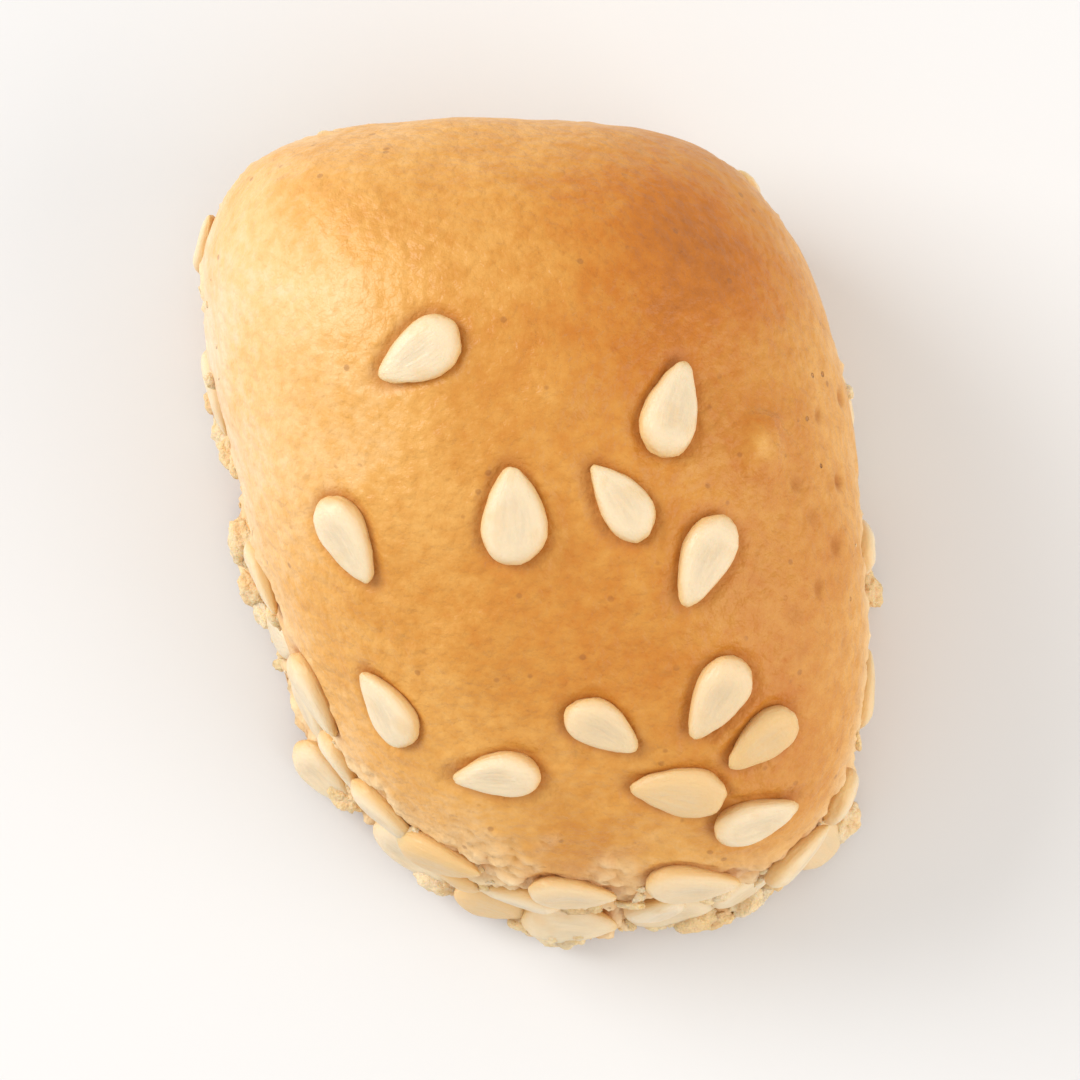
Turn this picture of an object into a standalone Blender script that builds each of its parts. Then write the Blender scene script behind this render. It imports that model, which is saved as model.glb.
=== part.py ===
"""Kaak biscuit: a bite-size pillow of baked dough with sesame seeds pressed into its crust.

Units are metres and +Z is up. The biscuit stands on its flat underside, and the origin lies there, under the middle
of the whole piece. +Y runs along the biscuit, from its seeded end to its broad, bare end.
"""
import math
import random

import bmesh
import bpy
from mathutils import Matrix, Vector, noise

MM = 0.001

# The dough pillow, before it leans and tapers
HALF_WIDTH = 10.2 * MM
HALF_LENGTH = 12.8 * MM
HALF_HEIGHT = 9.2 * MM
BASE_DROP = 5.3 * MM  # how far the flat underside lies below the pillow's middle
PLAN_FULLNESS = 3.2  # exponent of the plan: 2 is an ellipse, higher is squarer
SIDE_FULLNESS = 2.15  # exponent of the profile

# How the baked piece departs from an even pillow
MIDDLE = Vector((0.30, 0.98)) * MM  # where the pillow's middle lies over the tray
TAPER = 0.10  # wider at the bare end, narrower at the seeded end
WEDGE = 0.13  # higher at the bare end, pinched lower at the seeded end
LEAN = 0.19  # the rope was cut at a slant, so the plan leans to one side
SLUMP = Vector((-0.02, 0.15))  # the crown sits off the base, towards the bare end
LUMP_SIZE = 9.0 * MM
LUMP_HEIGHT = 0.55 * MM
CREASE_SIZE = 3.6 * MM
CREASE_HEIGHT = 0.16 * MM

# The side with the strongest foot and the most seeds
SEEDED_SIDE = math.radians(-104)

# The crusty foot that spread along the tray
FOOT_REACH = 2.8 * MM
FOOT_LEAST = 0.18  # share of the reach on the side where the foot is weakest
FOOT_LEVEL = 0.8 * MM
FOOT_HEIGHT = 1.3 * MM
CRAG_SIZE = 1.5 * MM
CRAG_HEIGHT = 1.0 * MM
CRAG_TOP = 3.4 * MM  # the crags die out at this height
CRAG_MEAN = 0.45  # mean of the turbulence that the crags follow

# Sesame seeds
SEED_LENGTH = 3.0 * MM
SEED_WIDTH = 2.3 * MM  # before the narrowing, which leaves 1.9 mm
SEED_THICKNESS = 1.1 * MM  # before the narrowing, which leaves 0.9 mm
SEED_NARROWING = 0.42  # how much thinner the pointed end is than the round one
SEED_RISE = 0.06 * MM  # a seed's middle plane lies this far over the crust
SEED_SPREAD = 0.10  # seeds differ in size by about this share
SEED_SIDES = 6
SEED_RINGS = 4
EDGE_SEEDS = 25  # these are scattered by chance, apart from the ones in the two tables below
EDGE_TOP = math.radians(12)  # they reach up to this latitude on the seeded side
BARE_TOP = math.radians(-4)  # and to this one on the bare side
BARE_SIDE_SEEDS = 0.16  # chance of a seed on the bare side, against 1 on the seeded side
SEEDED_SPREAD = math.radians(60)  # they thin out this far round from the middle of the seeded side
SEEDED_FADE = 1.5  # and this quickly
EDGE_GAP = 2.15 * MM  # least distance between the middles of two seeds
BASE_CLEARANCE = 0.25 * MM  # no seed or crumb comes nearer to the tray than this
RANDOM_SEED = 17

# Crumbs stuck along the foot
CRUMBS = 26
CRUMB_SIZE = 1.0 * MM
CRUMB_SHAPE = Vector((1.2, 0.9, 0.8))

# The seeds that lie on the crown: across and along in mm, and where the pointed end heads, in degrees from +X
CROWN_SEEDS = (
    (-3.9, 6.0, 213),
    (4.2, 4.2, 71),
    (-0.9, 0.8, 90),
    (2.5, 1.2, 126),
    (5.3, -0.7, 245),
    (-6.2, 0.0, 295),
    (5.7, -5.1, 245),
    (7.2, -6.5, 217),
    (2.0, -6.1, 320),
    (-1.4, -7.7, 190),
    (4.5, -8.2, 170),
    (-5.0, -5.5, 112),
)

# The seeds round the rim: direction from the middle, latitude on the pillow, and heading, all in degrees
RIM_SEEDS = (
    (-64, 30, 5),
    (-60, 6, 10),
    (-78, 15, -20),
    (-82, -20, 5),
    (-98, 11, -15),
    (-99, -21, -5),
    (-111, -21, -30),
    (-128, 4, -25),
    (-124, -21, -45),
    (-140, -24, -45),
    (-146, 11, -75),
)

GRID_CUTS = 21  # cuts along each edge of the cube that the pillow is drawn from
GRID_CROWDING = 1.25  # the grid's rows crowd together towards the foot
CROWN_EDGE = math.radians(42)  # latitude where the grid's sides meet its top
NEARLY_ONE = 0.9999
MERGE_DISTANCE = 0.01 * MM

# The latitude at which the pillow meets the tray
BASE_LEVEL = -BASE_DROP / HALF_HEIGHT
BASE_SHARE = (1 - abs(BASE_LEVEL) ** SIDE_FULLNESS) ** (1 / SIDE_FULLNESS)
BASE_LATITUDE = math.atan2(BASE_LEVEL, BASE_SHARE)


def clear_scene():
    for obj in list(bpy.data.objects):
        bpy.data.objects.remove(obj, do_unlink=True)


def principled(name, colour, roughness):
    material = bpy.data.materials.new(name)
    material.use_nodes = True
    shader = material.node_tree.nodes["Principled BSDF"]
    shader.inputs["Base Color"].default_value = (*colour, 1)
    shader.inputs["Roughness"].default_value = roughness
    shader.inputs["Metallic"].default_value = 0
    material.diffuse_color = (*colour, 1)
    return material


def smooth_step(value):
    value = min(max(value, 0), 1)
    return value * value * (3 - 2 * value)


def plan_radius(around):
    """Distance from the middle to the even pillow's plan outline, in one direction."""
    across = abs(math.cos(around) / HALF_WIDTH) ** PLAN_FULLNESS
    along = abs(math.sin(around) / HALF_LENGTH) ** PLAN_FULLNESS
    return (across + along) ** (-1 / PLAN_FULLNESS)


def profile(latitude):
    """Share of the plan radius, and height over the middle, at a latitude of the pillow."""
    across, up = math.cos(latitude), math.sin(latitude)
    scale = (abs(across) ** SIDE_FULLNESS + abs(up) ** SIDE_FULLNESS) ** (-1 / SIDE_FULLNESS)
    return across * scale, up * scale * HALF_HEIGHT


def swelling(even):
    """How far the dough swells past the even pillow, in broad lumps and shallow creases."""
    lumps = LUMP_HEIGHT * noise.noise(even / LUMP_SIZE + Vector((2.7, 0.4, 1.3)))
    creases = CREASE_HEIGHT * noise.noise(even / CREASE_SIZE + Vector((0, 5.1, 0)))
    return lumps + creases


def foot_reach(around, height):
    """How far the crusty foot stands out, near the tray."""
    side = 0.5 + 0.5 * math.cos(around - SEEDED_SIDE)
    ragged = 0.75 + 0.5 * noise.noise(Vector((3 * math.cos(around), 3 * math.sin(around), 7)))
    level = math.exp(-(((height - FOOT_LEVEL) / FOOT_HEIGHT) ** 2))
    return FOOT_REACH * (FOOT_LEAST + (1 - FOOT_LEAST) * side) * ragged * level


def crag_height(even, height):
    """How far the broken crust stands out or falls back, near the tray."""
    ragged = noise.turbulence(even / CRAG_SIZE, 2, True) - CRAG_MEAN
    return CRAG_HEIGHT * ragged * smooth_step(1 - height / CRAG_TOP)


def set_down(point):
    """Gives a point of the even pillow its slump, taper, lean and wedge, and sets it on the tray."""
    shift = MIDDLE + SLUMP * point.z
    along = point.y / HALF_LENGTH
    return Vector((
        point.x * (1 + TAPER * along) - LEAN * point.y + shift.x,
        point.y + shift.y,
        (point.z + BASE_DROP) * (1 + WEDGE * along),
    ))


def crust_point(around, latitude, crags=True, inward=1.0):
    """A point of the crust. Inward shrinks it towards the middle, for the underside."""
    share, rise = profile(latitude)
    radius = plan_radius(around) * share * inward
    height = rise + BASE_DROP
    sideways = Vector((math.cos(around), math.sin(around), 0))
    even = sideways * radius + Vector((0, 0, rise))
    out = swelling(even) + foot_reach(around, height)
    if crags:
        out += crag_height(even, height)
    direction = sideways.lerp(even.normalized(), smooth_step(height / (3 * FOOT_HEIGHT)))
    return set_down(even + direction * out * inward**3)


def grid_point(corner):
    """Where a point of the 2 x 2 x 2 cube goes on the biscuit."""
    a, b, c = corner
    ring = max(abs(a), abs(b))
    around = math.atan2(b * HALF_LENGTH, a * HALF_WIDTH)
    if c < -NEARLY_ONE:
        point = crust_point(around, BASE_LATITUDE, inward=ring)
        point.z = 0
        return point
    if c > NEARLY_ONE:
        return crust_point(around, math.pi / 2 + (CROWN_EDGE - math.pi / 2) * ring)
    up = ((c + 1) / 2) ** GRID_CROWDING
    return crust_point(around, BASE_LATITUDE + (CROWN_EDGE - BASE_LATITUDE) * up)


def seat(around, latitude):
    """A place on the crust without its crags, with the directions east, north and outward there."""
    step = 0.02
    place = crust_point(around, latitude, crags=False)
    east = (crust_point(around + step, latitude, crags=False) - place).normalized()
    north = (crust_point(around, latitude + step, crags=False) - place).normalized()
    return place, east, north, east.cross(north).normalized()


def crown_seat(x, y):
    """Direction and latitude of the crust over a point of the plan, found by closing in on it."""
    around, latitude = math.atan2(y, x), math.radians(70)
    for _ in range(40):
        miss = Vector((x, y)) - crust_point(around, latitude, crags=False).xy
        radius = plan_radius(around) * profile(latitude)[0]
        even = Vector((radius * math.cos(around), radius * math.sin(around))) + 0.7 * miss
        around = math.atan2(even.y, even.x)
        share = min(even.length / plan_radius(around), NEARLY_ONE)
        latitude = math.atan2((1 - share**SIDE_FULLNESS) ** (1 / SIDE_FULLNESS), share)
    return around, latitude


def laid(place, tip, out, rise):
    """Matrix of a thing that lies on the crust, its +X to the tip and its +Z outward."""
    tip = (tip - out * tip.dot(out)).normalized()
    turn = Matrix((tip, out.cross(tip), out)).transposed().to_4x4()
    return Matrix.Translation(place + out * rise) @ turn


def lowest(matrix, half_length):
    """Lowest point that a seed of this half length can reach."""
    return matrix.translation.z - abs(matrix.col[0].z) * half_length - abs(matrix.col[1].z) * half_length / 2


def edge_density(around, latitude):
    """Chance that a seed stays here: most on the seeded side, few and only low down on the bare side."""
    seeded = smooth_step(0.5 + SEEDED_FADE * (math.cos(around - SEEDED_SIDE) - math.cos(SEEDED_SPREAD)))
    low = latitude < BARE_TOP + (EDGE_TOP - BARE_TOP) * seeded
    return low * (BARE_SIDE_SEEDS + (1 - BARE_SIDE_SEEDS) * seeded)


def placed_seeds(rng):
    """Matrices and sizes of the seeds in the two tables."""
    rows = [(*crown_seat(x * MM, y * MM), heading) for x, y, heading in CROWN_SEEDS]
    rows += [(math.radians(around), math.radians(latitude), heading) for around, latitude, heading in RIM_SEEDS]
    places = []
    for around, latitude, heading in rows:
        place, _, _, out = seat(around, latitude)
        tip = Vector((math.cos(math.radians(heading)), math.sin(math.radians(heading)), 0))
        size = 1 + SEED_SPREAD * rng.uniform(-1, 1)
        places.append((laid(place, tip, out, SEED_RISE), size))
    return places


def edge_seed(rng, size, places):
    """Draws one scattered seed, and returns its matrix, or None where it may not lie."""
    around = rng.uniform(-math.pi, math.pi)
    latitude = BASE_LATITUDE + (EDGE_TOP - BASE_LATITUDE) * rng.random() ** 1.5
    heading = rng.uniform(0, 2 * math.pi)
    wanted = rng.random() < edge_density(around, latitude)
    place, east, north, out = seat(around, latitude)
    matrix = laid(place, east * math.cos(heading) + north * math.sin(heading), out, SEED_RISE)
    near = min((matrix.translation - other.translation).length for other, _ in places)
    clear = lowest(matrix, size * SEED_LENGTH / 2) > BASE_CLEARANCE
    return matrix if wanted and clear and near > EDGE_GAP else None


def seed_places():
    """Matrices and sizes of all seeds: those in the tables, then the scattered ones, the largest first."""
    rng = random.Random(RANDOM_SEED)
    places = placed_seeds(rng)
    sizes = sorted((1 + SEED_SPREAD * rng.uniform(-1.5, 1) for _ in range(EDGE_SEEDS)), reverse=True)
    for size in sizes:
        matrix = None
        while matrix is None:
            matrix = edge_seed(rng, size, places)
        places.append((matrix, size))
    return places


def crumb_places():
    """Matrices and sizes of the crumbs along the foot, most of them at the seeded end."""
    rng = random.Random(RANDOM_SEED + 1)
    places = []
    while len(places) < CRUMBS:
        around = SEEDED_SIDE + rng.triangular(-math.pi, math.pi, 0)
        latitude = BASE_LATITUDE * (1 - rng.uniform(0.08, 0.35))
        size = CRUMB_SIZE * rng.uniform(0.7, 1.3)
        place, east, _, out = seat(around, latitude)
        matrix = laid(place, east + out * rng.uniform(-0.5, 0.5), out, 0)
        if place.z - size / 2 > BASE_CLEARANCE:
            places.append((matrix, size))
    return places


def add_object(name, bm, collection):
    bmesh.ops.recalc_face_normals(bm, faces=bm.faces)
    mesh = bpy.data.meshes.new(name)
    bm.to_mesh(mesh)
    bm.free()
    obj = bpy.data.objects.new(name, mesh)
    collection.objects.link(obj)
    return obj


def make_dough(material):
    bm = bmesh.new()
    bmesh.ops.create_cube(bm, size=2)
    bmesh.ops.subdivide_edges(bm, edges=bm.edges, cuts=GRID_CUTS, use_grid_fill=True)
    underside = [face for face in bm.faces if face.calc_center_median().z < -NEARLY_ONE]
    for vertex in bm.verts:
        vertex.co = grid_point(vertex.co)
    bmesh.ops.dissolve_faces(bm, faces=underside, use_verts=True)
    dough = add_object("kaak_biscuit", bm, bpy.context.scene.collection)
    dough.data.materials.append(material)
    return dough


def make_seed(matrix, size, material, collection):
    """A flat teardrop of about 30 triangles, its pointed end to +X."""
    bm = bmesh.new()
    bmesh.ops.create_uvsphere(bm, u_segments=SEED_SIDES, v_segments=SEED_RINGS, radius=0.5)
    lengthwise = Matrix.Rotation(math.pi / 2, 3, "Y")
    flat_side_up = Matrix.Rotation(math.pi / SEED_SIDES, 3, "X")
    bmesh.ops.rotate(bm, verts=bm.verts, matrix=flat_side_up @ lengthwise)
    for vertex in bm.verts:
        narrow = 1 - SEED_NARROWING * smooth_step(vertex.co.x + 0.5)
        vertex.co.y *= narrow
        vertex.co.z *= narrow
    bmesh.ops.scale(bm, verts=bm.verts, vec=(SEED_LENGTH * size, SEED_WIDTH * size, SEED_THICKNESS * size))
    bmesh.ops.transform(bm, verts=bm.verts, matrix=matrix)
    seed = add_object("seed", bm, collection)
    seed.data.materials.append(material)


def make_crumb(matrix, size, material, collection):
    bm = bmesh.new()
    bmesh.ops.create_icosphere(bm, subdivisions=1, radius=size / 2)
    bmesh.ops.scale(bm, verts=bm.verts, vec=CRUMB_SHAPE)
    bmesh.ops.transform(bm, verts=bm.verts, matrix=matrix)
    crumb = add_object("crumb", bm, collection)
    crumb.data.materials.append(material)


def fuse(body, collection):
    """Joins the collection to the body with one Boolean union, applies it, and removes the pieces."""
    union = body.modifiers.new("Fuse", "BOOLEAN")
    union.operation = "UNION"
    union.operand_type = "COLLECTION"
    union.collection = collection
    union.solver = "EXACT"
    union.material_mode = "TRANSFER"
    graph = bpy.context.evaluated_depsgraph_get()
    fused = bpy.data.meshes.new_from_object(body.evaluated_get(graph), depsgraph=graph)
    body.modifiers.clear()
    body.data = fused
    for piece in list(collection.objects):
        bpy.data.objects.remove(piece, do_unlink=True)
    bpy.data.collections.remove(collection)


def remove_folded_slivers(bm):
    """Merges corners that all but touch, and deletes each pair of faces that this lays back to back."""
    bmesh.ops.remove_doubles(bm, verts=bm.verts, dist=MERGE_DISTANCE)
    bmesh.ops.triangulate(bm, faces=bm.faces)
    by_corners = {}
    for face in bm.faces:
        by_corners.setdefault(frozenset(face.verts), []).append(face)
    folded = [face for faces in by_corners.values() if len(faces) > 1 for face in faces]
    bmesh.ops.delete(bm, geom=folded, context="FACES")


def connected(start, unseen):
    """All vertices joined to the first one by edges. They are taken out of the unseen set."""
    shell = {start}
    front = [start]
    while front:
        for edge in front.pop().link_edges:
            for vertex in edge.verts:
                if vertex in unseen:
                    unseen.remove(vertex)
                    shell.add(vertex)
                    front.append(vertex)
    return shell


def keep_outer_shell(bm):
    """Fills sealed hollows and drops loose scraps: only the largest shell stays."""
    unseen = set(bm.verts)
    shells = []
    while unseen:
        shells.append(connected(unseen.pop(), unseen))
    shells.sort(key=len, reverse=True)
    for shell in shells[1:]:
        bmesh.ops.delete(bm, geom=list(shell), context="VERTS")


def tidy_mesh(obj):
    bm = bmesh.new()
    bm.from_mesh(obj.data)
    remove_folded_slivers(bm)
    keep_outer_shell(bm)
    bm.to_mesh(obj.data)
    bm.free()


def build():
    clear_scene()
    crust = principled("crust", (0.72, 0.34, 0.10), 0.5)
    sesame = principled("sesame", (0.90, 0.78, 0.56), 0.45)
    toppings = bpy.data.collections.new("toppings")
    bpy.context.scene.collection.children.link(toppings)
    biscuit = make_dough(crust)
    for matrix, size in seed_places():
        make_seed(matrix, size, sesame, toppings)
    for matrix, size in crumb_places():
        make_crumb(matrix, size, crust, toppings)
    fuse(biscuit, toppings)
    tidy_mesh(biscuit)
    biscuit.data.shade_smooth()
    biscuit.data.set_sharp_from_angle(angle=math.radians(40))
    size = biscuit.dimensions / MM
    print(f"kaak_biscuit: {len(biscuit.data.polygons)} triangles, {size.x:.1f} x {size.y:.1f} x {size.z:.1f} mm")


build()
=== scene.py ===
# %% [markdown]
# # A bite-size kaak biscuit
# A rope of dough is dipped in sesame, cut at a slant into short pieces and baked. Each piece puffs up
# into a pillow with a flat underside, and where the dough touched the tray it spreads into a crumbly
# foot.
#
# The solid model already has the right form and size, with its seeds and crumbs fused on. This script
# dresses it: a fine skin in place of the plain one, real seeds in the same places, crumbs, and materials
# made from nodes.

# %% Load the solid model, which stays as it is
import math
import random

import bmesh
import bpy
from mathutils import Matrix, Vector, noise
from mathutils.bvhtree import BVHTree
from mathutils.kdtree import KDTree


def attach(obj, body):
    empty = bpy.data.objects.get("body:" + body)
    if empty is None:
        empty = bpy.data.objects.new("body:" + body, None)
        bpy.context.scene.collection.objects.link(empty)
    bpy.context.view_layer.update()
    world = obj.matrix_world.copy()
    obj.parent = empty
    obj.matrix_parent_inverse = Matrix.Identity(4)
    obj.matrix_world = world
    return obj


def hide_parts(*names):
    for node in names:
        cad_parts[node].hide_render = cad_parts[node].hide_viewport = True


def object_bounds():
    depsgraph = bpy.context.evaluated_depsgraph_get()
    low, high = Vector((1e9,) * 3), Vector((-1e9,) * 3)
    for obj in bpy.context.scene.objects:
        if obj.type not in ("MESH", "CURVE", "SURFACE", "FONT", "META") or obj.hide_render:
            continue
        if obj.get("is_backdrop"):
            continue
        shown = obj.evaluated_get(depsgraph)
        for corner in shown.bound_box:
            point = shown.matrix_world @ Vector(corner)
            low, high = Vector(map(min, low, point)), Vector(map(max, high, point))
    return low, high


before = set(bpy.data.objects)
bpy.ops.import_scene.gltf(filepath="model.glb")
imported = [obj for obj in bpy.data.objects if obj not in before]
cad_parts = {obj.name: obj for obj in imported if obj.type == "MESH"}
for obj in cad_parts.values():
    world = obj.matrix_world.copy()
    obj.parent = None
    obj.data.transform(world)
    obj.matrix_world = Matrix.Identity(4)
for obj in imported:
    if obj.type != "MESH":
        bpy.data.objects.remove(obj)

MM = 0.001
cad_low, cad_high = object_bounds()
cad_size = (cad_high - cad_low) / MM
print(f"solid biscuit: {cad_size.x:.1f} x {cad_size.y:.1f} x {cad_size.z:.1f} mm")

# %% [markdown]
# ## The rule behind the dough
# A pillow like this can be sculpted by hand, but a rule is easier to repeat. Two superellipses give an
# even pillow: one for the plan, one for the profile. Noise swells it into lumps, a foot spreads at the
# bottom, and one last step leans, tapers and wedges it, because no hand cuts dough square. The solid was
# made with the same rule and the same numbers, so the skin made here keeps its form.

# %% The even pillow
HALF_WIDTH = 10.2 * MM
HALF_LENGTH = 12.8 * MM
HALF_HEIGHT = 9.2 * MM
BASE_DROP = 5.3 * MM  # how far the flat underside lies below the pillow's middle
PLAN_FULLNESS = 3.2  # exponent of the plan: 2 is an ellipse, higher is squarer
SIDE_FULLNESS = 2.15  # exponent of the profile

BASE_LEVEL = -BASE_DROP / HALF_HEIGHT
BASE_SHARE = (1 - abs(BASE_LEVEL) ** SIDE_FULLNESS) ** (1 / SIDE_FULLNESS)
BASE_LATITUDE = math.atan2(BASE_LEVEL, BASE_SHARE)


def smooth_step(value):
    """0 below 0, 1 above 1, and an S-shaped ramp between them."""
    value = min(max(value, 0), 1)
    return value * value * (3 - 2 * value)


def plan_radius(around):
    """Distance from the middle to the even pillow's plan outline, in one direction."""
    across = abs(math.cos(around) / HALF_WIDTH) ** PLAN_FULLNESS
    along = abs(math.sin(around) / HALF_LENGTH) ** PLAN_FULLNESS
    return (across + along) ** (-1 / PLAN_FULLNESS)


def profile(latitude):
    """Share of the plan radius, and height over the middle, at a latitude of the pillow."""
    across, up = math.cos(latitude), math.sin(latitude)
    scale = (abs(across) ** SIDE_FULLNESS + abs(up) ** SIDE_FULLNESS) ** (-1 / SIDE_FULLNESS)
    return across * scale, up * scale * HALF_HEIGHT


print(f"the pillow meets the tray at latitude {math.degrees(BASE_LATITUDE):.0f} degrees")

# %% Lumps, the crusty foot and its crags
LUMP_SIZE = 9.0 * MM
LUMP_HEIGHT = 0.55 * MM
CREASE_SIZE = 3.6 * MM
CREASE_HEIGHT = 0.16 * MM
SEEDED_SIDE = math.radians(-104)  # the side with the strongest foot and the most seeds
FOOT_REACH = 2.8 * MM
FOOT_LEAST = 0.18  # share of the reach on the side where the foot is weakest
FOOT_LEVEL = 0.8 * MM
FOOT_HEIGHT = 1.3 * MM
CRAG_SIZE = 1.5 * MM
CRAG_HEIGHT = 1.0 * MM
CRAG_TOP = 3.4 * MM  # the crags die out at this height
CRAG_MEAN = 0.45  # mean of the turbulence that the crags follow


def swelling(even):
    lumps = LUMP_HEIGHT * noise.noise(even / LUMP_SIZE + Vector((2.7, 0.4, 1.3)))
    creases = CREASE_HEIGHT * noise.noise(even / CREASE_SIZE + Vector((0, 5.1, 0)))
    return lumps + creases


def foot_reach(around, height):
    side = 0.5 + 0.5 * math.cos(around - SEEDED_SIDE)
    ragged = 0.75 + 0.5 * noise.noise(Vector((3 * math.cos(around), 3 * math.sin(around), 7)))
    level = math.exp(-(((height - FOOT_LEVEL) / FOOT_HEIGHT) ** 2))
    return FOOT_REACH * (FOOT_LEAST + (1 - FOOT_LEAST) * side) * ragged * level


def crag_height(even, height):
    ragged = noise.turbulence(even / CRAG_SIZE, 2, True) - CRAG_MEAN
    return CRAG_HEIGHT * ragged * smooth_step(1 - height / CRAG_TOP)


print(f"the foot reaches out {foot_reach(SEEDED_SIDE, FOOT_LEVEL) / MM:.1f} mm on the seeded side")

# %% Setting the pillow down on the tray
MIDDLE = Vector((0.30, 0.98)) * MM  # where the pillow's middle lies over the tray
TAPER = 0.10  # wider at the bare end, narrower at the seeded end
WEDGE = 0.13  # higher at the bare end, pinched lower at the seeded end
LEAN = 0.19  # the rope was cut at a slant, so the plan leans to one side
SLUMP = Vector((-0.02, 0.15))  # the crown sits off the base, towards the bare end


def set_down(point):
    shift = MIDDLE + SLUMP * point.z
    along = point.y / HALF_LENGTH
    return Vector((
        point.x * (1 + TAPER * along) - LEAN * point.y + shift.x,
        point.y + shift.y,
        (point.z + BASE_DROP) * (1 + WEDGE * along),
    ))


def crust_point(around, latitude, crags=True, inward=1.0):
    """A point of the crust. Inward shrinks it towards the middle, for the underside."""
    share, rise = profile(latitude)
    radius = plan_radius(around) * share * inward
    height = rise + BASE_DROP
    sideways = Vector((math.cos(around), math.sin(around), 0))
    even = sideways * radius + Vector((0, 0, rise))
    out = swelling(even) + foot_reach(around, height)
    if crags:
        out += crag_height(even, height)
    direction = sideways.lerp(even.normalized(), smooth_step(height / (3 * FOOT_HEIGHT)))
    return set_down(even + direction * out * inward**3)


print(f"crown at {crust_point(0, math.pi / 2).z / MM:.1f} mm over the tray")

# %% [markdown]
# ## Where the seeds lie
# A dozen seeds stick to the crown, a row of them to the rim of one end, and more low on the flanks. Those
# on the crown and the rim come from tables. The rest is scattered: a particle system could do it, but it
# would put them in other places than the solid has them. So the same draws are made here again, from the
# same random seed. Each seed is a matrix: its place on the crust, its tip along X, and its flat side
# facing out along Z.

# %% A seat on the crust
SEED_LENGTH = 3.0 * MM
SEED_WIDTH = 2.3 * MM  # before the narrowing, which leaves 1.9 mm
SEED_THICKNESS = 1.1 * MM  # before the narrowing, which leaves 0.9 mm
SEED_NARROWING = 0.42
SEED_RISE = 0.06 * MM  # a seed's middle plane lies this far over the crust
BASE_CLEARANCE = 0.25 * MM  # seeds and crumbs are set at least this far over the tray
NEARLY_ONE = 0.9999
SEARCH_STEPS = 40
SEARCH_SHARE = 0.7  # of the miss that each step takes back


def seat(around, latitude):
    """A place on the crust without its crags, with the directions east, north and outward there."""
    step = 0.02
    place = crust_point(around, latitude, crags=False)
    east = (crust_point(around + step, latitude, crags=False) - place).normalized()
    north = (crust_point(around, latitude + step, crags=False) - place).normalized()
    return place, east, north, east.cross(north).normalized()


def crown_seat(x, y):
    """Direction and latitude of the crust over a point of the plan, found by closing in on it."""
    around, latitude = math.atan2(y, x), math.radians(70)
    for _ in range(SEARCH_STEPS):
        miss = Vector((x, y)) - crust_point(around, latitude, crags=False).xy
        radius = plan_radius(around) * profile(latitude)[0]
        even = Vector((radius * math.cos(around), radius * math.sin(around))) + SEARCH_SHARE * miss
        around = math.atan2(even.y, even.x)
        share = min(even.length / plan_radius(around), NEARLY_ONE)
        latitude = math.atan2((1 - share**SIDE_FULLNESS) ** (1 / SIDE_FULLNESS), share)
    return around, latitude


def laid(place, tip, out, rise):
    """Matrix of a thing that lies on the crust, its +X to the tip and its +Z outward."""
    tip = (tip - out * tip.dot(out)).normalized()
    turn = Matrix((tip, out.cross(tip), out)).transposed().to_4x4()
    return Matrix.Translation(place + out * rise) @ turn


print(f"a seed is {SEED_LENGTH / MM:.1f} mm long, and its middle lies {SEED_RISE / MM:.2f} mm over the crust")

# %% The seeds on the crown and round the rim
RANDOM_SEED = 17
SEED_SPREAD = 0.10  # seeds differ in size by about this share

# Across and along in mm, and where the pointed end heads, in degrees from +X
CROWN_SEEDS = (
    (-3.9, 6.0, 213),
    (4.2, 4.2, 71),
    (-0.9, 0.8, 90),
    (2.5, 1.2, 126),
    (5.3, -0.7, 245),
    (-6.2, 0.0, 295),
    (5.7, -5.1, 245),
    (7.2, -6.5, 217),
    (2.0, -6.1, 320),
    (-1.4, -7.7, 190),
    (4.5, -8.2, 170),
    (-5.0, -5.5, 112),
)
# Direction from the middle, latitude on the pillow, and heading, all in degrees
RIM_SEEDS = (
    (-64, 30, 5),
    (-60, 6, 10),
    (-78, 15, -20),
    (-82, -20, 5),
    (-98, 11, -15),
    (-99, -21, -5),
    (-111, -21, -30),
    (-128, 4, -25),
    (-124, -21, -45),
    (-140, -24, -45),
    (-146, 11, -75),
)


def heading_vector(degrees):
    return Vector((math.cos(math.radians(degrees)), math.sin(math.radians(degrees)), 0))


def placed_seeds(rng):
    rows = [(*crown_seat(x * MM, y * MM), heading) for x, y, heading in CROWN_SEEDS]
    for around, latitude, heading in RIM_SEEDS:
        rows.append((math.radians(around), math.radians(latitude), heading))
    places = []
    for around, latitude, heading in rows:
        place, _, _, out = seat(around, latitude)
        size = 1 + SEED_SPREAD * rng.uniform(-1, 1)
        places.append((laid(place, heading_vector(heading), out, SEED_RISE), size))
    return places


print(f"{len(CROWN_SEEDS)} seeds on the crown and {len(RIM_SEEDS)} round the rim")

# %% The seeds scattered low on the flanks
EDGE_SEEDS = 25
EDGE_TOP = math.radians(12)  # they reach up to this latitude on the seeded side
BARE_TOP = math.radians(-4)  # and to this one on the bare side
BARE_SIDE_SEEDS = 0.16  # chance of a seed on the bare side, against 1 on the seeded side
SEEDED_SPREAD = math.radians(60)  # they thin out this far round from the middle of the seeded side
SEEDED_FADE = 1.5  # and this quickly
EDGE_GAP = 2.15 * MM  # least distance between the middles of two seeds


def lowest(matrix, half_length):
    return matrix.translation.z - abs(matrix.col[0].z) * half_length - abs(matrix.col[1].z) * half_length / 2


def edge_density(around, latitude):
    seeded = smooth_step(0.5 + SEEDED_FADE * (math.cos(around - SEEDED_SIDE) - math.cos(SEEDED_SPREAD)))
    low = latitude < BARE_TOP + (EDGE_TOP - BARE_TOP) * seeded
    return low * (BARE_SIDE_SEEDS + (1 - BARE_SIDE_SEEDS) * seeded)


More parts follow.
